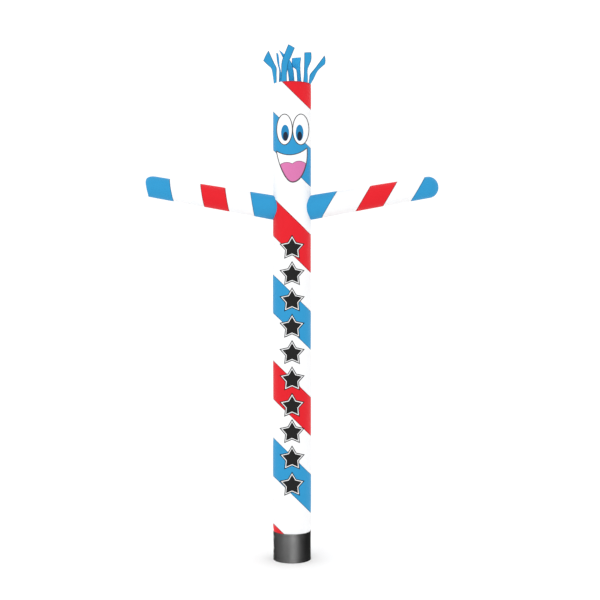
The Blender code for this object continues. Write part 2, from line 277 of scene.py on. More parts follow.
def dress(name, mesh, thickness, offset=-1.0):
    # The cloth that takes the place of a node
    piece = addPiece(name + "_cloth", mesh, [name])
    thicken(piece, thickness, offset)
    return piece


def nearEdge(*distances):
    # 1 at an edge, 0 at the reach of its painted shade line and less beyond that
    return np.stack([1 - distance / weave["edgeReach"] for distance in distances], axis=1)


def thicken(piece, thickness, offset=-1.0):
    wall = piece.modifiers.new("wall", "SOLIDIFY")
    wall.thickness = thickness
    wall.offset = offset


def settle(piece):
    # Apply the modifiers
    graph = bpy.context.evaluated_depsgraph_get()
    mesh = bpy.data.meshes.new_from_object(piece.evaluated_get(graph), preserve_all_data_layers=True,
                                           depsgraph=graph)
    piece.modifiers.clear()
    piece.data = mesh
    mesh.shade_smooth()
    mesh.set_sharp_from_angle(angle=math.radians(50))


def joinMeshes(name, meshes, material):
    joined = saveMesh(openMeshes(*meshes), bpy.data.meshes.new(name))
    joined.shade_smooth()
    joined.materials.append(material)
    return joined


def eased(value, low, high):
    share = np.clip((value - low) / (high - low), 0.0, 1.0)
    return share * share * (3 - 2 * share)


def stacked(*parts):
    return np.stack(parts, axis=1)


def lengths(vectors):
    return np.linalg.norm(vectors, axis=1)


def unit(vectors):
    return vectors / lengths(vectors)[:, None]


def travelled(points):
    # How far along the line each of its points lies
    return np.concatenate([[0.0], np.cumsum(lengths(np.diff(points, axis=0)))])


def aroundAxis(bearing, radius, height):
    # Bearings start at the front and run towards +X
    return stacked(radius * np.sin(bearing), -radius * np.cos(bearing), height)


# The blown tube: how far the cloth stands out from a plain cylinder. Seams draw it in and pucker it,
# the rest swells a little, and soft troughs run from what is sewn on and over the long stretches.

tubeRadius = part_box("tube_white_3")[1].x
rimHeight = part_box("tube_red_1")[1].z
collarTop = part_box("collar")[1].z

stripes = {"fall": 0.984, "height": 0.4734, "period": 1.9915, "turns": 4, "redTop": 6.1816, "blueTop": 5.240,
           "lap": 0.010}
blown = {"seamDraw": 0.0034, "seamWidth": 0.012, "pucker": 0.0008, "puckerReach": 0.040, "swell": 0.0011,
         "belly": 0.0030, "backDraw": 0.0022, "rimHem": 0.026, "rimDraw": 0.0018, "rimWidth": 0.010,
         "collarDraw": 0.0016, "collarWidth": 0.020, "heldBelow": -0.01, "freeAbove": 0.12,
         "swells": ((1.0, 3, 1.9, 0.0), (0.8, 2, -2.7, 1.0), (0.5, 5, 5.3, 2.0)),
         "puckers": ((0.6, 29, 1.3, 0.0), (0.4, 17, 2.9, 0.0))}

# Each row: bearing from the front in degrees, height, length, width, depth, and lean from upright
tubeTroughs = [
    (58, 4.03, 0.30, 0.030, 0.0030, 28), (70, 3.86, 0.24, 0.026, 0.0024, 12),
    (-60, 4.05, 0.28, 0.028, 0.0028, -30), (-72, 3.83, 0.26, 0.030, 0.0026, -10),
    (56, 4.52, 0.22, 0.026, 0.0024, -30), (-57, 4.50, 0.24, 0.028, 0.0026, 28),
    (118, 4.06, 0.30, 0.030, 0.0030, -26), (-121, 4.00, 0.32, 0.032, 0.0032, 24),
    (124, 4.55, 0.24, 0.028, 0.0026, 22), (-114, 4.57, 0.22, 0.026, 0.0024, -24),
    (-34, 0.47, 0.13, 0.022, 0.0026, 8), (21, 0.50, 0.16, 0.024, 0.0028, -6),
    (74, 0.46, 0.12, 0.020, 0.0024, 5), (139, 0.49, 0.15, 0.024, 0.0028, -9),
    (-101, 0.52, 0.17, 0.026, 0.0030, 6), (-160, 0.47, 0.13, 0.022, 0.0026, 4),
    (-84, 5.62, 0.16, 0.022, 0.0022, 7), (44, 5.66, 0.12, 0.020, 0.0018, -5),
    (103, 5.60, 0.17, 0.024, 0.0024, 6), (-150, 5.63, 0.15, 0.022, 0.0022, -8),
    (88, 2.30, 0.42, 0.034, 0.0022, 40), (-96, 1.52, 0.38, 0.034, 0.0020, -38),
    (150, 3.05, 0.46, 0.038, 0.0024, 36), (-140, 2.62, 0.40, 0.036, 0.0022, -42),
]


def edgeLean(middle):
    # Edges lie in planes through the camera's place, so that they look straight from there
    return (middle - stripes["fall"] * camera["place"][0] - camera["place"][2]) / -camera["place"][1]


def edgeSteepness(middle, bearing):
    return np.sqrt(1 + (stripes["fall"] * np.cos(bearing) - edgeLean(middle) * np.sin(bearing)) ** 2)


def stripeEdge(middle, bearing):
    # The upper cloth ends on the edge, and the seam is half a lap above it
    return (middle - tubeRadius * (stripes["fall"] * np.sin(bearing) + edgeLean(middle) * np.cos(bearing))
            + stripes["lap"] / 2 * edgeSteepness(middle, bearing))


seamMiddles = []  # from the top down
for turn in range(stripes["turns"]):
    for top in (stripes["redTop"], stripes["blueTop"]):
        top -= turn * stripes["period"]
        seamMiddles += [top, top - stripes["height"]]


def wrapped(angle):
    return (angle + math.pi) % math.tau - math.pi


def waves(rows, bearing, along=0.0, shape=np.cos):
    # Each row: height, waves round, turn with the place along, and where it starts
    return sum(high * shape(count * bearing + turn * along + start) for high, count, turn, start in rows)


def drawSeam(out, draws, away, wave, bridge=1.0):
    out -= draws["seamDraw"] * bridge * np.exp(-away / draws["seamWidth"])
    out += draws["pucker"] * bridge * wave * np.exp(-away / draws["puckerReach"])


def pressTroughs(out, troughs, bearing, along, radius):
    for towards, place, long, wide, depth, lean in troughs:
        aside = wrapped(bearing - math.radians(towards)) * radius
        ahead = along - place
        lean = math.radians(lean)
        run = aside * math.sin(lean) + ahead * math.cos(lean)
        side = aside * math.cos(lean) - ahead * math.sin(lean)
        out -= depth * np.exp(-(side / wide) ** 2 - (run / (0.6 * long)) ** 4)


def tubeRelief(bearing, height, bridge=1.0):
    # Pieces sewn over a seam bridge its groove, so they take only a share of it
    out = blown["swell"] * waves(blown["swells"], bearing, height, np.sin) + blown["belly"]
    for number, middle in enumerate(seamMiddles):
        away = np.abs(height - stripeEdge(middle, bearing)) / edgeSteepness(middle, bearing)
        wave = waves(blown["puckers"], bearing, number) * (0.7 + 0.3 * np.cos(4 * bearing + number))
        drawSeam(out, blown, away, wave, bridge)
    behind = np.abs(wrapped(bearing - math.pi)) * tubeRadius
    out -= blown["backDraw"] * np.exp(-behind / blown["seamWidth"])
    pressTroughs(out, tubeTroughs, bearing, height, tubeRadius)
    out *= eased(height, collarTop + blown["heldBelow"], collarTop + blown["freeAbove"])
    out -= blown["collarDraw"] * np.exp(-np.abs(height - collarTop) / blown["collarWidth"])
    out -= blown["rimDraw"] * np.exp(-np.abs(height - rimHeight + blown["rimHem"]) / blown["rimWidth"])
    return out


def onTube(bearing, height, lift):
    return aroundAxis(bearing, tubeRadius + tubeRelief(bearing, height) + lift, height)


# Stitches: short beads of thread in rows, gathered by colour and made into one piece each at the end

stitch = {"pitch": 0.0065, "finePitch": 0.0050, "size": (0.0046, 0.0010, 0.0007), "lift": 0.0002,
          "fewest": 5, "apart": 0.004, "hemLift": 0.0004, "backLift": 0.0008,
          "points": {"ring": 720, "tubeBack": 1400, "cuff": 480, "armBack": 720, "collarBack": 90}}
stitchRows = {}
bm = bmesh.new()
bmesh.ops.create_uvsphere(bm, u_segments=5, v_segments=3, radius=1.0)
bmesh.ops.transform(bm, matrix=Matrix.Rotation(math.pi / 2, 4, "Y"), verts=bm.verts)
bead = saveMesh(bm, bpy.data.meshes.new("bead"))


def radialNormals(points):
    return unit(points * np.array([1.0, 1.0, 0.0]))


def sewRow(thread, points, normals=None, pitch=stitch["pitch"]):
    normals = radialNormals(points) if normals is None else normals
    stitchRows.setdefault(thread, []).append((points, normals, pitch))


def sewRuns(names, points):
    # A row that changes its thread on the way, and has no stitches where the thread has no name
    cuts = np.flatnonzero(names[1:] != names[:-1]) + 1
    for run, thread in zip(np.split(points, cuts), names[[0, *cuts]]):
        if thread and len(run) >= stitch["fewest"]:
            sewRow(str(thread), run)


def stitchMesh(points, normals, pitch):
    travel = travelled(points)
    count = max(int(travel[-1] / pitch), 1)
    marks = (np.arange(count) + 0.5) * travel[-1] / count
    half = pitch / 3
    spots, heads, tails, ups = (
        np.stack([np.interp(marks + shift, travel, source[:, axis]) for axis in range(3)], axis=1)
        for shift, source in ((0.0, points), (half, points), (-half, points), (0.0, normals)))
    along = unit(heads - tails)
    across = unit(np.cross(ups, along))
    above = np.cross(along, across)
    mesh = saveMesh(openMeshes(*[bead] * count), bpy.data.meshes.new("stitches"))
    shape = np.array([vert.co[:] for vert in bead.vertices])
    corners = spots[:, None]
    for number, axis in enumerate((along, across, above)):
        corners = corners + axis[:, None] * shape[None, :, [number]] * stitch["size"][number] / 2
    mesh.vertices.foreach_set("co", np.ascontiguousarray(corners).ravel())
    return mesh


# Tube panels: slanting rings, each lapped over the one below and sewn with two rows of stitches

panel = {"columns": 192, "cloth": 0.0008, "lapLift": 0.00045, "lapEase": 0.004, "tuck": 0.015,
         "tuckDepth": 0.0009, "tuckFrom": 0.002, "tuckTo": 0.007, "rows": (-0.0028, 0.0028),
         "least": 0.004, "middleRows": 13, "flatStep": 0.37, "measured": 400,
         "edgeRows": (0.0, 0.002, 0.005, 0.0075, 0.010, 0.0145, 0.020, 0.028, 0.039, 0.053, 0.070)}
hems = {"rimRows": (0.005, 0.022), "clearOfCollar": 0.006, "clearOfRim": 0.004, "backEnds": 0.01}
halfLap = stripes["lap"] / 2
edgeRowCount = len(panel["edgeRows"]) - 1
ring = np.linspace(-math.pi, math.pi, stitch["points"]["ring"])


def rowPlaces(row, middleRows, low, high, steepLow, steepHigh):
    # Rows crowd at the two edges, where the shape changes fastest
    edges = np.array(panel["edgeRows"])
    rows = 2 * edgeRowCount + middleRows
    squeeze = np.minimum(1.0, (high - low) / (edges[-1] * (steepLow + steepHigh) + 0.05))
    fromLow = low + edges[np.minimum(row, edgeRowCount)] * steepLow * squeeze
    fromHigh = high - edges[np.clip(rows - row, 0, edgeRowCount)] * steepHigh * squeeze
    return fromLow + (fromHigh - fromLow) * np.clip((row - edgeRowCount) / middleRows, 0.0, 1.0)


def lapOffset(place, low, high, steepLow, steepHigh, lapLow=True, lapHigh=True):
    # Over the next panel at the lower edge, and under the last one at the upper edge
    over = 1 - eased((place - low) / steepLow, halfLap, halfLap + panel["lapEase"])
    under = 1 - eased((high - place) / steepHigh, halfLap, halfLap + panel["lapEase"])
    return panel["lapLift"] * (over * lapLow - under * lapHigh)


def seamRow(colour, middle, start, end):
    # Two rows of stitches through the lap of a seam, left out where the rim or the collar cuts it off
    bearing = np.linspace(start, end, stitch["points"]["ring"])
    for shift in panel["rows"]:
        height = stripeEdge(middle, bearing) + shift * edgeSteepness(middle, bearing)
        kept = (height > collarTop + hems["clearOfCollar"]) & (height < rimHeight - hems["clearOfRim"])
        sewRuns(np.where(kept, colour, ""), onTube(bearing, height, panel["lapLift"] + stitch["lift"]))


def tubePanel(colour, number, top, bottom):
    name = f"tube_{colour}_{number}"

    def limits(bearing):
        steepLow, steepHigh = edgeSteepness(bottom, bearing), edgeSteepness(top, bearing)
        low = np.maximum(stripeEdge(bottom, bearing) - halfLap * steepLow, collarTop - panel["tuck"])
        high = np.minimum(stripeEdge(top, bearing) + halfLap * steepHigh, rimHeight)
        return low, high, steepLow, steepHigh

    def mould(across, up):
        bearing = start + (end - start) * across
        low, high, steepLow, steepHigh = limits(bearing)
        row = np.rint(up * (2 * edgeRowCount + panel["middleRows"])).astype(int)
        height = rowPlaces(row, panel["middleRows"], low, high, steepLow, steepHigh)
        seamLow, seamHigh = stripeEdge(bottom, bearing), stripeEdge(top, bearing)
        lift = lapOffset(height, seamLow, seamHigh, steepLow, steepHigh)
        lift -= panel["tuckDepth"] * (1 - eased(height - collarTop, panel["tuckFrom"], panel["tuckTo"]))
        edges = nearEdge((height - seamLow) / steepLow + halfLap,
                         np.minimum((seamHigh - height) / steepHigh - halfLap, rimHeight - height))
        return (onTube(bearing, height, lift),
                stacked(bearing * tubeRadius, height + panel["flatStep"] * number), edges)

    # The first and the last ring are cut off by the rim and the collar, so they may not go all round
    scan = np.radians(np.arange(-180, 541, 0.25))
    low, high = limits(scan)[:2]
    there = high - low > panel["least"]
    if there.all():
        start, end = -math.pi, math.pi
    else:
        first = int(np.argmax(~there))
        begin = first + int(np.argmax(there[first:]))
        start, end = scan[begin], scan[begin + int(np.argmax(~there[begin:])) - 1]
    columns = max(int(panel["columns"] * (end - start) / math.tau), 8)
    mesh = mouldGrid(name, columns, 2 * edgeRowCount + panel["middleRows"], mould, cloths[colour])
    piece = dress(name, mesh, panel["cloth"])
    low, high = limits(np.linspace(start, end, panel["measured"]))[:2]
    seamRow(colour, bottom, start, end)
    return piece


tubePieces = {}
panels = []
for index, (top, bottom) in enumerate(zip(seamMiddles, seamMiddles[1:])):
    if top > 0:
        colour = ("red", "white", "blue", "white")[index % 4]
        number = index // (2 if colour == "white" else 4) + 1
        panels.append((colour, top, bottom))
        tubePieces[f"{colour}_{number}"] = tubePanel(colour, number, top, bottom)
print("tube panels", len(tubePieces))


# The seam up the back and the hem at the rim

def matchedRow(bearing, height, lift):
    # The thread changes with the stripe that it crosses, where the lap ends
    colours = np.full(len(bearing), "white")
    for colour, top, bottom in panels:
        high, low = (stripeEdge(middle, bearing) - halfLap * edgeSteepness(middle, bearing)
                     for middle in (top, bottom))
        colours[(height < high) & (height > low)] = colour
    sewRuns(colours, onTube(bearing, height, lift))


height = np.linspace(collarTop + hems["backEnds"], rimHeight - hems["backEnds"], stitch["points"]["tubeBack"])
for aside in (-stitch["apart"], stitch["apart"]):
    matchedRow(np.full_like(height, math.pi + aside / tubeRadius), height, stitch["backLift"])
for depth in hems["rimRows"]:
    matchedRow(ring, np.full_like(ring, rimHeight - depth), stitch["hemLift"])


# The collar: heavy coated polyester, hemmed at both ends, with a lapped seam behind

collar = {"body": 0.0011, "cloth": 0.0014, "footHem": 0.030, "topHem": 0.022, "hemProud": 0.0009,
          "step": 0.003, "swell": 0.0010, "swells": ((1.0, 2, 0.0, 0.7), (0.6, 5, -9, 0.0)),
          "swellEnds": (0.02, 0.12), "columns": 192, "groove": 0.0008, "grooveWidth": 0.010,
          "hemRow": 0.005, "secondRow": 0.017, "rowEnds": 0.004, "rowAside": 0.005,
          "rows": (0.0, 0.003, 0.012, 0.022, 0.0265, 0.0300, 0.0335, 0.040, 0.055, 0.080, 0.105, 0.130,
                   0.155, 0.180, 0.205, 0.230, 0.255, 0.280, 0.300, 0.315, 0.323, 0.326, 0.3285, 0.334,
                   0.342, 0.348)}
collarCloth = {"base": (0.0010, 0.0010, 0.0010), "dust": (0.0030, 0.0030, 0.0030), "dusty": (0.55, 0.05),
               "dustTop": 0.12, "rough": 0.53, "roughSpread": 0.05, "specular": 0.008, "yarn": 0.0022,
               "crumple": 0.0012, "weaveBump": 0.00012}


def heavyCloth(name):
    # Black basket weave under a soft coating, with pale dust towards the ground
    material, tree = newMaterial(name)
    onCloth = addNode(tree, "UVMap", "UV", uv_map="cloth")
    inRoom = addNode(tree, "TexCoord", "Object")
    yarn = collarCloth["yarn"]
    basket = yarnGrid(tree, onCloth, yarn, yarn / 2, yarn / 10, 1.0, 0.5)
    broad = noise(tree, inRoom, 7.0, 3.0)
    height = addNode(tree, "SeparateXYZ", "Z", Vector=inRoom)
    low = spread(tree, height, 0.0, collarCloth["dustTop"], *collarCloth["dusty"])
    dust = combine(tree, "MULTIPLY", low, noise(tree, inRoom, 34.0, 6.0, Roughness=0.6))
    rough = spread(tree, broad, 0.3, 0.7, collarCloth["rough"] - collarCloth["roughSpread"],
                   collarCloth["rough"] + collarCloth["roughSpread"])
    bump = bumpOver(tree, broad, collarCloth["crumple"])
    bump = bumpOver(tree, basket, -collarCloth["weaveBump"], Normal=bump)
    return shade(material, Base_Color=blend(tree, dust, collarCloth["base"], collarCloth["dust"]),
                 Roughness=rough, Normal=bump, Specular_IOR_Level=collarCloth["specular"])


def collarRadius(bearing, height):
    hemmed = (1 - eased(height, collar["footHem"] - collar["step"], collar["footHem"])
              + eased(height, collarTop - collar["topHem"] - collar["step"], collarTop - collar["topHem"]))
    swell = waves(collar["swells"], bearing, height, np.sin) * collar["swell"]
    swell *= eased(collarTop - height, *collar["swellEnds"])
    behind = np.abs(wrapped(bearing - math.pi)) * tubeRadius
    groove = collar["groove"] * np.exp(-behind / collar["grooveWidth"])
    return tubeRadius + collar["body"] + collar["hemProud"] * hemmed * 0.5 + swell - groove


def collarMould(across, up):
    bearing = (across * 2 - 1) * math.pi
    rows = np.array(collar["rows"]) * collarTop / collar["rows"][-1]
    height = rows[np.rint(up * (len(rows) - 1)).astype(int)]
    points = aroundAxis(bearing, collarRadius(bearing, height), height)
    return points, stacked(bearing * tubeRadius, height)


def collarRow(bearing, height):
    sewRow("black", aroundAxis(bearing, collarRadius(bearing, height) + stitch["lift"], height))


collarMesh = mouldGrid("collar", collar["columns"], len(collar["rows"]) - 1, collarMould,
                       heavyCloth("blackPolyester"))
collarPiece = dress("collar", collarMesh, collar["cloth"])
for height in (collar["footHem"] - collar["hemRow"], collarTop - collar["hemRow"],
               collarTop - collar["secondRow"]):
    collarRow(ring, np.full_like(ring, height))
upright = np.linspace(collar["rowEnds"], collarTop - collar["rowEnds"], stitch["points"]["collarBack"])
for aside in (-collar["rowAside"], collar["rowAside"]):
    collarRow(np.full_like(upright, math.pi + aside / tubeRadius), upright)
print("collar")


# The arms: tapered sleeves of five panels, sewn into holes in the tube's sides

armRise = math.radians(9.76)
riseCos, riseSin = math.cos(armRise), math.sin(armRise)
arms = {"axisHeight": 4.2517, "rootRadius": 0.1455, "columns": 96, "foot": 0.0008, "hole": 0.0040,
        "seamDraw": 0.0028, "seamWidth": 0.011, "pucker": 0.0007, "puckerReach": 0.034, "swell": 0.0010,
        "belly": 0.0028, "backDraw": 0.0020, "rootDraw": 0.0030, "rootWidth": 0.010, "rootGather": 0.0014,
        "rootReach": 0.045, "capGather": 0.0016, "middleRows": 9, "capRows": 14, "footRow": 0.006,
        "backStart": 0.24, "backEnd": 0.03, "measured": 200}
armColours = ("blue", "white", "red", "white", "blue")
armSides = [
    {"side": "left", "across": -1, "phase": 2.4, "slant": 0.353, "tipRadius": 0.126,
     "edges": (0.485, 0.787, 1.093, 1.464), "capStart": 1.702, "capEnd": 1.782,
     "startSlant": -0.215, "endSlant": 0.360, "capPower": 0.68,
     "troughs": [(20, 0.36, 0.13, 0.020, 0.0026, 14), (-38, 0.40, 0.15, 0.022, 0.0028, -10),
                 (95, 0.37, 0.14, 0.020, 0.0026, 6), (160, 0.42, 0.16, 0.024, 0.0030, -8),
                 (-118, 0.39, 0.14, 0.022, 0.0026, 12), (12, 1.66, 0.12, 0.018, 0.0022, 6),
                 (-70, 1.64, 0.13, 0.020, 0.0024, -8), (130, 1.65, 0.12, 0.020, 0.0022, 9)]},
    {"side": "right", "across": 1, "phase": 1.0, "slant": 0.846, "tipRadius": 0.128,
     "edges": (0.461, 0.866, 1.200, 1.533), "capStart": 1.667, "capEnd": 1.788,
     "startSlant": 0.0, "endSlant": 0.0, "capPower": 1.0,
     "troughs": [(-26, 0.37, 0.14, 0.020, 0.0026, -12), (44, 0.39, 0.14, 0.022, 0.0028, 9),
                 (-98, 0.38, 0.13, 0.020, 0.0026, -5), (150, 0.41, 0.16, 0.024, 0.0030, 10),
                 (-160, 0.36, 0.13, 0.022, 0.0026, -9), (70, 1.18, 0.22, 0.024, 0.0018, 30)]},
]


def armFrame(arm):
    axis = Vector((arm["across"] * riseCos, 0, riseSin))
    top = Vector((-arm["across"] * riseSin, 0, riseCos))
    return np.array(axis), np.array(top), np.array((-top).cross(axis))


def armSize(arm, along):
    start, end = tubeRadius / riseCos, arm["capStart"] / riseCos
    return arms["rootRadius"] + (arm["tipRadius"] - arms["rootRadius"]) * (along - start) / (end - start)


def armEdge(arm, across, slant, bearing):
    middle = across / riseCos
    return middle + slant * armSize(arm, middle) * np.cos(bearing)


def armSteepness(arm, bearing):
    return np.sqrt(1 + (arm["slant"] * np.sin(bearing)) ** 2)


def armSeam(arm, number, bearing):
    # The outer cloth ends on the edge, and the seam is half a lap further out
    return armEdge(arm, arm["edges"][number], arm["slant"], bearing) + halfLap * armSteepness(arm, bearing)


def armFoot(arm, bearing):
    # Where the sleeve meets the tube: a saddle, found by stepping towards the blown surface
    reach = np.full_like(bearing, tubeRadius)
    aside = armFrame(arm)[2]
    for step in range(6):
        size = armSize(arm, reach)
        depth = aside[1] * np.sin(bearing) * size
        across = arm["across"] * (riseCos * reach - riseSin * size * np.cos(bearing))
        height = arms["axisHeight"] + riseSin * reach + riseCos * size * np.cos(bearing)
        face = tubeRadius + tubeRelief(np.arctan2(across, -depth), height) - arms["foot"]
        lean = riseSin * size * np.cos(bearing)
        reach = (np.sqrt(face ** 2 - depth ** 2) + lean) / riseCos
    return reach


def armRelief(arm, bearing, along):
    phase = arm["phase"]
    out = arms["swell"] * waves(((1.0, 2, 3.1, phase), (0.6, 3, -5.2, 0.0)), bearing, along, np.sin)
    out += arms["belly"]
    for number in range(len(arm["edges"])):
        away = np.abs(along - armSeam(arm, number, bearing)) / armSteepness(arm, bearing)
        drawSeam(out, arms, away, waves(((0.6, 19, 1.7, phase), (0.4, 11, 2.3, 0.0)), bearing, number))
    size = armSize(arm, along)
    out -= arms["backDraw"] * np.exp(-np.abs(wrapped(bearing - math.pi)) * size / arms["seamWidth"])
    pressTroughs(out, arm["troughs"], bearing, along, size)
    fromFoot = np.maximum(along - armFoot(arm, bearing), 0.0)
    gather = waves(((0.55, 13, 0.0, phase), (0.45, 8, 0.0, 2 * phase)), bearing)
    out += arms["rootGather"] * gather * np.exp(-fromFoot / arms["rootReach"])
    out -= arms["rootDraw"] * np.exp(-fromFoot / arms["rootWidth"])
    return out


def onArm(arm, bearing, along, size):
    axis, top, aside = armFrame(arm)
    origin = np.array((0.0, 0.0, arms["axisHeight"]))
    return (origin + axis * along[:, None]
            + (aside * np.sin(bearing)[:, None] + top * np.cos(bearing)[:, None]) * size[:, None])


def armCap(arm, bearing, along, size, cap):
    # Beyond the last row the sleeve closes, and the flat cloth runs on over the end
    angle = math.pi / 2 * cap / arms["capRows"]
    shoulder = armEdge(arm, arm["capStart"], arm["startSlant"], bearing)
    shrink = np.maximum(np.cos(angle), 0.0) ** arm["capPower"]
    shrink[cap == arms["capRows"]] = 0.0
    radius = armSize(arm, arm["capStart"] / riseCos)
    end = arm["capEnd"] / riseCos + arm["endSlant"] * radius * shrink * np.cos(bearing)
    gather = arms["capGather"] * np.cos(11 * bearing + 0.8) * np.sin(2 * angle) * np.cos(angle)
    reach = shoulder + (end - shoulder) * np.sin(angle)
    return (np.where(cap > 0, reach, along), np.where(cap > 0, size * shrink + gather, size),
            along + angle * radius)


def armPanel(arm, index, colour):
    name = f"arm_{arm['side']}_{index + 1}_{colour}"
    closed = index == len(armColours) - 1
    rows = 2 * edgeRowCount + arms["middleRows"]
    total = rows + arms["capRows"] * closed

    def seams(bearing):
        low = armSeam(arm, index - 1, bearing) if index else armFoot(arm, bearing)
        if closed:
            return low, armEdge(arm, arm["capStart"], arm["startSlant"], bearing), armSteepness(arm, bearing)
        return low, armSeam(arm, index, bearing), armSteepness(arm, bearing)

    def limits(bearing):
        low, high, steep = seams(bearing)
        return low - halfLap * steep * bool(index), high + halfLap * steep * (not closed), steep

    def mould(across, up):
        bearing = (across * 2 - 1) * math.pi
        low, high, steep = limits(bearing)
        row = np.rint(up * total).astype(int)
        along = rowPlaces(np.minimum(row, rows), arms["middleRows"], low, high, steep, steep)
        seamLow, seamHigh, steep = seams(bearing)
        lift = lapOffset(along, seamLow, seamHigh, steep, steep, bool(index), not closed)
        edges = nearEdge((along - seamLow) / steep + (halfLap if index else 1.0),
                         (seamHigh - along) / steep - halfLap + closed)
        size = armSize(arm, along) + armRelief(arm, bearing, along) + lift
        flat = along
        if closed:
            along, size, flat = armCap(arm, bearing, along, size, np.clip(row - rows, 0, None))
        return onArm(arm, bearing, along, size), stacked(bearing * arms["rootRadius"], flat), edges

    mesh = mouldGrid(name, arms["columns"], total, mould, cloths[colour])
    piece = dress(name, mesh, panel["cloth"])
    low, high, steep = limits(np.linspace(-math.pi, math.pi, arms["measured"]))


def armRow(arm, colour, bearing, along, lift):
    size = armSize(arm, along) + armRelief(arm, bearing, along) + lift
    points = onArm(arm, bearing, along, size)
    sewRow(colour, points, points - onArm(arm, bearing, along, np.zeros_like(size)))


cuff = np.linspace(-math.pi, math.pi, stitch["points"]["cuff"])
for arm in armSides:
    for index, colour in enumerate(armColours):
        armPanel(arm, index, colour)
    for index in range(len(arm["edges"])):
        for shift in panel["rows"]:
            along = armSeam(arm, index, cuff) + shift * armSteepness(arm, cuff)
            armRow(arm, armColours[index + 1], cuff, along, panel["lapLift"] + stitch["lift"])
    armRow(arm, "blue", cuff, armFoot(arm, cuff) + arms["footRow"], stitch["lift"])
    seams = [armSeam(arm, index, math.pi) for index in range(len(arm["edges"]))]
    backEnd = arm["capStart"] / riseCos - arms["backEnd"]
    along = np.linspace(arms["backStart"], backEnd, stitch["points"]["armBack"])
    number = np.searchsorted(seams, along)
    for aside in (-stitch["apart"], stitch["apart"]):
        for index, colour in enumerate(armColours):
            run = along[number == index]
            armRow(arm, colour, math.pi + aside / armSize(arm, run), run, stitch["backLift"])


bore = {"start": 0.09, "length": 0.30, "segments": 96}


def armHole(arm):
    # The bore that lets the tube's air into the sleeve
    axis = Vector(armFrame(arm)[0])
    bm = bmesh.new()
    radius = arms["rootRadius"] - arms["hole"]
    bmesh.ops.create_cone(bm, cap_ends=True, segments=bore["segments"], radius1=radius, radius2=radius,
                          depth=bore["length"])
    turn = Vector((0, 0, 1)).rotation_difference(axis).to_matrix().to_4x4()
    bmesh.ops.transform(bm, matrix=turn, verts=bm.verts)
    middle = Vector((0, 0, arms["axisHeight"])) + axis * (bore["start"] + bore["length"] / 2)
    bmesh.ops.translate(bm, verts=bm.verts, vec=middle)
    return addObject("armHole", saveMesh(bm, bpy.data.meshes.new("armHole")))


def cutHoles(piece, cutters):
    for cutter in cutters:
        hole = piece.modifiers.new("hole", "BOOLEAN")
        hole.operation = "DIFFERENCE"
        hole.solver = "EXACT"
        hole.object = cutter
    settle(piece)


holes = [armHole(arm) for arm in armSides]
cutHoles(tubePieces["white_2"], holes)
cutHoles(tubePieces["red_2"], holes[:1])
for cutter in holes:
    bpy.data.objects.remove(cutter)
print("arms")


# Hair: strips whose feet are sewn inside the rim. Each section gives the place across and the rise
# above the rim of the left and the right edge, the depth, and how much deeper the right edge lies.

hair = {"cloth": 0.0009, "cup": 0.010, "columns": 12, "rowsPerSection": 9, "footRows": 3, "footDrop": 0.024,
        "footInset": 0.0022, "proud": 0.0006, "flutter": 0.0035, "flatStep": 0.1}
hairStrips = {
    "hair_1": {"foot": (-71, -53), "sections": [
        (-0.232, 0.085, -0.184, 0.085, -0.110, -0.055), (-0.247, 0.176, -0.184, 0.172, -0.115, -0.040),
        (-0.298, 0.223, -0.217, 0.243, -0.120, -0.030), (-0.347, 0.268, -0.281, 0.386, -0.130, -0.020)]},
    "hair_2": {"foot": (-133, -147), "sections": [
        (-0.160, 0.180, -0.136, 0.180, 0.160, 0.048), (-0.174, 0.270, -0.152, 0.270, 0.150, 0.066),
        (-0.187, 0.350, -0.164, 0.350, 0.140, 0.064), (-0.198, 0.416, -0.175, 0.416, 0.125, 0.060)]},
    "hair_3": {"foot": (-36, -15), "sections": [
        (-0.127, 0.085, -0.060, 0.095, -0.200, -0.015), (-0.125, 0.215, -0.040, 0.225, -0.210, 0.000),
        (-0.095, 0.310, -0.010, 0.290, -0.225, 0.015), (-0.042, 0.435, 0.036, 0.395, -0.245, 0.010)]},
    "hair_4": {"foot": (188, 171), "sections": [
        (-0.052, 0.195, 0.020, 0.205, 0.185, 0.010), (-0.090, 0.300, -0.012, 0.315, 0.150, 0.020),
        (-0.122, 0.375, -0.056, 0.375, 0.120, 0.030), (-0.159, 0.446, -0.086, 0.385, 0.090, 0.030)]},
    "hair_5": {"foot": (163, 148), "sections": [
        (0.056, 0.195, 0.106, 0.200, 0.185, -0.030), (0.046, 0.238, 0.102, 0.245, 0.185, -0.040),
        (-0.002, 0.276, 0.103, 0.300, 0.180, -0.010), (-0.001, 0.367, 0.112, 0.378, 0.170, 0.005)]},
    "hair_6": {"foot": (37, 57), "sections": [
        (0.143, 0.085, 0.193, 0.085, -0.155, 0.035), (0.149, 0.180, 0.194, 0.170, -0.150, 0.035),
        (0.149, 0.272, 0.234, 0.272, -0.155, 0.015), (0.150, 0.357, 0.234, 0.360, -0.165, 0.000)]},
    "hair_7": {"foot": (61, 79), "sections": [
        (0.212, 0.060, 0.246, 0.030, -0.085, 0.065), (0.225, 0.115, 0.266, 0.070, -0.085, 0.060),
        (0.290, 0.195, 0.318, 0.158, -0.095, 0.050), (0.398, 0.333, 0.400, 0.230, -0.110, 0.020)]},
}


def smoothPath(knots, place):
    # A smooth curve through the knots, read at places counted in knots
    index = np.minimum(place.astype(int), len(knots) - 2)
    share = (place - index)[:, None]
    before, start, end, after = (knots[np.clip(index + step, 0, len(knots) - 1)] for step in (-1, 0, 1, 2))
    return 0.5 * (2 * start + (end - before) * share + (2 * before - 5 * start + 4 * end - after) * share ** 2
                  + (3 * start - before - 3 * end + after) * share ** 3)


def rimPoint(bearing, drop):
    # Against the inside of the blown wall
    return onTube(bearing, rimHeight - drop + 0.0 * bearing, -hair["footInset"])


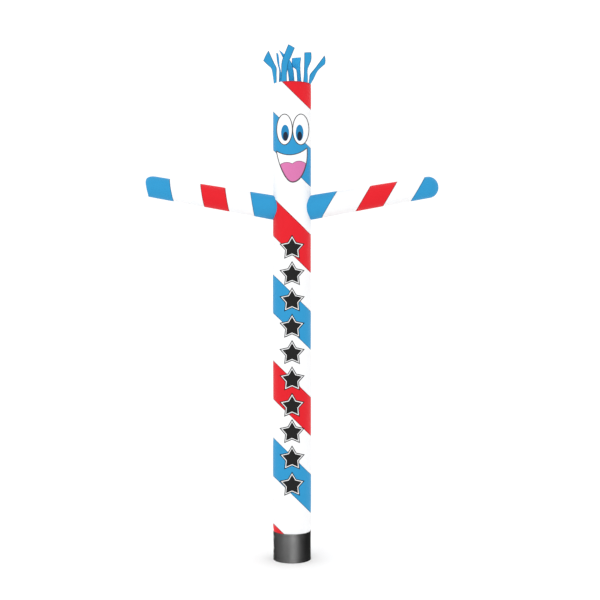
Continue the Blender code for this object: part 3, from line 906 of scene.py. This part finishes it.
def hairStrip(number, name, strip):
    first, last = (math.radians(bearing) for bearing in strip["foot"])
    lefts, rights = [rimPoint(np.array([first]), 0.0)[0]], [rimPoint(np.array([last]), 0.0)[0]]
    for leftAcross, leftRise, rightAcross, rightRise, depth, twist in strip["sections"]:
        lefts.append(np.array((leftAcross, depth - twist / 2, rimHeight + leftRise)))
        rights.append(np.array((rightAcross, depth + twist / 2, rimHeight + rightRise)))
    lefts, rights = np.array(lefts), np.array(rights)
    widths = lengths(rights - lefts)
    rows = hair["rowsPerSection"] * (len(lefts) - 1) + hair["footRows"]
    long = float(travelled((lefts + rights) / 2)[-1])

    def mould(across, up):
        place = (np.rint(up * rows) - hair["footRows"]) / hair["rowsPerSection"]
        risen = np.clip(place, 0.0, None)
        left, right = smoothPath(lefts, risen), smoothPath(rights, risen)
        chord = right - left
        bow = unit(stacked(-chord[:, 1], chord[:, 0], np.zeros(len(chord))))
        cup = hair["cup"] * (1 - (2 * across - 1) ** 2)
        flutter = hair["flutter"] * np.sin(2.3 * risen + 1.9 * number + 1.6 * across) * eased(risen, 0.3, 1.6)
        points = left + chord * across[:, None] - bow * (cup - flutter)[:, None]
        # From the rim the strip leaves the wall, and below it the foot lies flat inside
        bearing = first + (last - first) * across
        foot = rimPoint(bearing, -hair["proud"])
        points = foot + (points - foot) * eased(risen, 0.0, 1.0)[:, None]
        drop = -np.minimum(place, 0.0) * hair["footDrop"] * hair["rowsPerSection"] / hair["footRows"]
        points = np.where((place < 0)[:, None], rimPoint(bearing, drop), points)
        edges = nearEdge(np.minimum(across, 1 - across) * lengths(chord), (1 - up) * long)
        return points, stacked(across * widths.mean(), place * hair["flatStep"]), edges

    forward = strip["sections"][0][4] < 0  # strips behind stand in the front strips' shade, so they take the blue painted lighter to make up for it
    mesh = mouldGrid(name, hair["columns"], rows, mould, cloths["blue" if forward else "bluePaintedLight"])
    piece = dress(name, mesh, hair["cloth"], 0.0)
    width = float(widths.max())
    length = max(float(travelled(side)[-1]) for side in (lefts, rights))
    area = float((widths[:-1] + widths[1:]).sum()) / 2 * length / (len(widths) - 1)
    length += hair["footDrop"]
    area = min(area + width * hair["footDrop"], width * length)


for number, (name, strip) in enumerate(hairStrips.items()):
    hairStrip(number, name, strip)
print("hair")


# The face: thin cloth pieces whose outlines are drawn on the plane through the tube's axis

faceCloth = {"cloth": 0.0006, "lift": 0.0012, "layer": 0.0009, "bridge": 0.5, "inset": 0.0035, "round": 1.12}
# Each layer: cloth, slot, how many layers lie under it, rings and points round its edge
eyeLayers = {"eye": ("white", "face_white", 0, 22, 112), "iris": ("iris", "face_blue", 1, 12, 80),
             "pupil": ("pupil", "face_black", 2, 8, 56)}
# Each oval's middle, and half its size across and up
ovals = {
    "eye_left": ((-0.0914, 5.2462), (0.0952, 0.1870)), "eye_right": ((0.1082, 5.2462), (0.0990, 0.1870)),
    "iris_left": ((-0.0840, 5.2045), (0.0483, 0.0985)), "iris_right": ((0.0930, 5.2045), (0.0465, 0.0990)),
    "pupil_left": ((-0.0790, 5.1620), (0.0300, 0.0555)), "pupil_right": ((0.0940, 5.1640), (0.0290, 0.0560)),
}
mouth = {"left": (-0.1907, 4.9835), "right": (0.1833, 5.0214), "bottom": (0.0073, 4.6009),
         "middle": (0.0, 4.80), "lip": ((-0.0782, 4.9064), (0.0807, 4.9236)),
         "rightSide": ((0.2041, 4.8050), (0.1235, 4.6009)),
         "leftSide": ((-0.0782, 4.6009), (-0.1601, 4.7989)), "steps": 46, "rings": 24}
tongue = {"left": (-0.1500, 4.8124), "valley": (0.0049, 4.8295), "right": (0.1680, 4.8332),
          "middle": (0.005, 4.72), "leftHump": ((-0.1063, 4.8576), (-0.0354, 4.8527)),
          "rightHump": ((0.0440, 4.8698), (0.1173, 4.8759)), "inset": 0.004, "topSteps": 60,
          "mouthSteps": 600, "fanRise": 0.1, "steps": 128, "rings": 16}
satin = {"half": 0.0052, "high": 0.0008, "lift": 0.0012, "around": 8, "girth": 0.01, "eyeSteps": 176}


def ontoTube(spots, lift):
    # Draw spots on the plane of the axis in towards the camera's place, as far as the cloth
    start = np.array(camera["place"])
    run = stacked(spots[:, 0], np.zeros(len(spots)), spots[:, 1]) - start
    square = run[:, 0] ** 2 + run[:, 1] ** 2
    cross = start[0] * run[:, 0] + start[1] * run[:, 1]
    radius = np.full(len(spots), tubeRadius + lift)
    for step in range(4):
        rest = start[0] ** 2 + start[1] ** 2 - radius ** 2
        share = (-cross - np.sqrt(np.maximum(cross ** 2 - square * rest, 0.0))) / square
        points = start + run * share[:, None]
        bearing = np.arctan2(points[:, 0], -points[:, 1])
        radius = tubeRadius + tubeRelief(bearing, points[:, 2], faceCloth["bridge"]) + lift
    return points


def bezier(start, handles, end, steps):
    share = np.linspace(0.0, 1.0, steps, endpoint=False)[:, None]
    knots = [np.array(point) for point in (start, *handles, end)]
    return (knots[0] * (1 - share) ** 3 + 3 * knots[1] * share * (1 - share) ** 2
            + 3 * knots[2] * share ** 2 * (1 - share) + knots[3] * share ** 3)


def evenly(outline, steps):
    # The same closed outline with its points evenly spaced
    closed = np.vstack([outline, outline[:1]])
    travel = travelled(closed)
    marks = np.linspace(0.0, travel[-1], steps, endpoint=False)
    return np.stack([np.interp(marks, travel, closed[:, axis]) for axis in range(2)], axis=1)


def drawnIn(outline, middle, distance):
    away = outline - middle
    return middle + away * (1 - distance / lengths(away))[:, None]


def patchMesh(name, outline, middle, rings, lift, material, reach=1.0):
    # Rings run in from the outline over a share of the way to the middle. The outline runs
    # anticlockwise as seen from the front, so that the faces point outwards.
    count = len(outline)

    def mould(across, up):
        corner = outline[np.rint(across * count).astype(int) % count]
        spots = corner + (middle - corner) * (up * reach)[:, None]
        inwards = lengths(spots - corner)
        return ontoTube(spots, lift), spots, nearEdge(inwards, inwards)

    return mouldGrid(name, count, rings, mould, material)


def facePiece(name, outline, middle, rings, layer, cloth, sewn=True):
    # A layer, sewn on along its edge unless satin stitches cover that
    middle = np.array(middle)
    lift = faceCloth["lift"] + layer * faceCloth["layer"]
    mesh = patchMesh(name, outline, middle, rings, lift, cloths[cloth])
    piece = dress(name, mesh, faceCloth["cloth"])
    if sewn:
        line = drawnIn(outline, middle, faceCloth["inset"])
        sewRow(cloth, ontoTube(np.vstack([line, line[:1]]), lift + stitch["lift"]), pitch=stitch["finePitch"])


def satinLine(outline):
    # A close band of satin stitches over a raw edge: a flat tube that follows the outline
    count = len(outline)
    ahead = unit(np.roll(outline, -1, axis=0) - np.roll(outline, 1, axis=0))
    side = stacked(ahead[:, 1], -ahead[:, 0])
    travel = travelled(outline)

    def mould(across, turn):
        index = np.rint(across * count).astype(int)
        at = index % count
        angle = turn * math.tau
        spots = outline[at] + side[at] * (satin["half"] * np.cos(angle))[:, None]
        run = np.append(travel, travel[-1] + travel[1])[np.minimum(index, count)]
        return (ontoTube(spots, satin["lift"] + satin["high"] * np.sin(angle)),
                stacked(run, turn * satin["girth"]))

    mesh = mouldGrid("satin", count, satin["around"], mould, satinThread)
    bm = openMeshes(mesh)
    bmesh.ops.recalc_face_normals(bm, faces=bm.faces)
    return saveMesh(bm, mesh)


outlines = {}
for name, (middle, half) in ovals.items():
    cloth, slot, layer, rings, steps = eyeLayers[name.split("_")[0]]
    turns = np.linspace(0.0, math.tau, steps, endpoint=False)
    outlines[name] = np.array(middle) + np.array(half) * stacked(np.cos(turns), np.sin(turns))
    facePiece(name, outlines[name], middle, rings, layer, cloth, sewn=layer > 0)

mouthOutline = np.vstack([
    bezier(mouth["left"], mouth["lip"], mouth["right"], mouth["steps"]),
    bezier(mouth["right"], mouth["rightSide"], mouth["bottom"], mouth["steps"]),
    bezier(mouth["bottom"], mouth["leftSide"], mouth["left"], mouth["steps"]),
])[::-1]
facePiece("mouth", mouthOutline, mouth["middle"], mouth["rings"], 0, "white", sewn=False)


def tongueOutline():
    # Its top has two humps, and its sides follow the mouth's edge a little way in
    top = np.vstack([bezier(tongue["left"], tongue["leftHump"], tongue["valley"], tongue["topSteps"]),
                     bezier(tongue["valley"], tongue["rightHump"], tongue["right"], tongue["topSteps"]),
                     [tongue["right"]]])
    within = drawnIn(evenly(mouthOutline, tongue["mouthSteps"]), np.array(mouth["middle"]), tongue["inset"])
    low = within[within[:, 1] < np.interp(within[:, 0], top[:, 0], top[:, 1])]
    across, up = tongue["middle"]
    low = low[np.argsort(np.arctan2(low[:, 0] - across, up + tongue["fanRise"] - low[:, 1]))]
    inner = top[(top[:, 0] > low[0, 0]) & (top[:, 0] < low[-1, 0])][::-1]
    return evenly(np.vstack([low, inner]), tongue["steps"])


facePiece("tongue", tongueOutline(), tongue["middle"], tongue["rings"], 1, "pink")
satinLines = [satinLine(evenly(outlines[name], satin["eyeSteps"])) for name in ("eye_left", "eye_right")]
satinLines.append(satinLine(mouthOutline))
addPiece("satin_outlines", joinMeshes("satin_outlines", satinLines, satinThread))
print("face")


# Down the front, ten plain five-pointed stars in black with a white line, pressed on as thick film.
# Each band: outer and inner scale, rings, colour, and how far it stands out.

stars = {"count": 10, "high": 3.797, "low": 0.900, "across": 0.001, "radius": 0.163, "waist": 0.55,
         "bands": ((1.0, 0.84, 3, "print", 0.0010), (0.875, 0.735, 3, "white", 0.0013),
                   (0.765, 0.0, 12, "print", 0.0016)), "stepsPerEdge": 10, "film": 0.0004}
starSlots = {"print": "black", "white": "white"}


def starOutline(middle, scale):
    # Anticlockwise from the top point
    turns = math.pi / 2 + np.arange(10) * math.pi / 5
    reach = stars["radius"] * scale * np.where(np.arange(10) % 2, stars["waist"], 1.0)
    corners = middle + stacked(reach * np.cos(turns), reach * np.sin(turns))
    share = np.linspace(0.0, 1.0, stars["stepsPerEdge"], endpoint=False)[:, None]
    ends = np.roll(corners, -1, axis=0)
    return np.vstack([corner + (end - corner) * share for corner, end in zip(corners, ends)])


starMeshes = {cloth: [] for cloth in starSlots}
for place in np.linspace(stars["high"], stars["low"], stars["count"]):
    middle = np.array((stars["across"], place))
    for outer, inner, rings, cloth, lift in stars["bands"]:
        starMeshes[cloth].append(patchMesh("star", starOutline(middle, outer), middle, rings, lift,
                                           cloths[cloth], 1 - inner / outer))
for cloth, colour in starSlots.items():
    name = "star_print_" + colour
    piece = addPiece(name, joinMeshes(name, starMeshes[cloth], cloths[cloth]))
    thicken(piece, stars["film"])
print("stars")


for thread, rows in stitchRows.items():
    name = "stitches_" + thread
    addPiece(name, joinMeshes(name, [stitchMesh(*row) for row in rows], threads[thread]))
print("stitches", {thread: len(rows) for thread, rows in stitchRows.items()})


# Floor and light. The four small lamps give the black collar its sheen and show on it alone.

studio = {"floorHalf": 2000.0, "floorDrop": 0.0005, "floor": (0.96, 0.96, 0.96), "floorLeast": 0.97,
          "sky": (1.0, 1.0, 1.0), "skyStrength": 1.13, "collarAim": (0.0, 0.0, 0.16)}
# Each lamp: place, aim, size and energy
lamps = {"key": ((-5.0, -9.0, 7.5), (0.0, 0.0, 3.0), 6.0, 115.0),
         "collarKey": ((0.704, -4.445, 0.9), studio["collarAim"], 0.5, 44400.0),
         "collarFill": ((-2.893, -3.447, 0.9), studio["collarAim"], 0.5, 16800.0),
         "collarSide": ((-4.483, -0.392, 0.9), studio["collarAim"], 0.5, 5600.0),
         "collarBack": ((-1.6, 4.2, 0.9), studio["collarAim"], 1.0, 13000.0)}


def floorMaterial():
    material, tree = newMaterial("paleFloor")
    mottle = noise(tree, addNode(tree, "TexCoord", "Object"), 1.5, 4.0)
    tone = spread(tree, mottle, 0.3, 0.7, studio["floorLeast"], 1.0)
    return shade(material, Base_Color=blend(tree, tone, (0.0, 0.0, 0.0), studio["floor"]), Roughness=0.8,
                 Specular_IOR_Level=0.1)


bm = bmesh.new()
bmesh.ops.create_grid(bm, x_segments=8, y_segments=8, size=studio["floorHalf"])
bmesh.ops.translate(bm, verts=bm.verts, vec=(0, 0, cadBox[0].z - studio["floorDrop"]))
floor = addObject("floor", saveMesh(bm, bpy.data.meshes.new("floor")))
floor.data.materials.append(floorMaterial())

scene.world = bpy.data.worlds.new("studio")
scene.world.use_nodes = True
sky = scene.world.node_tree.nodes["Background"]
feed(sky.inputs["Color"], studio["sky"])
feed(sky.inputs["Strength"], studio["skyStrength"])

onCollar = bpy.data.collections.new("onCollar")
onCollar.objects.link(collarPiece)
for name, (place, aim, size, energy) in lamps.items():
    lamp = bpy.data.lights.new(name, "AREA")
    lamp.size = size
    lamp.energy = energy
    rig = addObject(name, lamp)
    rig.location = place
    rig.rotation_euler = (Vector(aim) - rig.location).to_track_quat("-Z", "Y").to_euler()
    if name.startswith("collar"):
        rig.light_linking.receiver_collection = onCollar
        rig.visible_diffuse = False
print("studio")
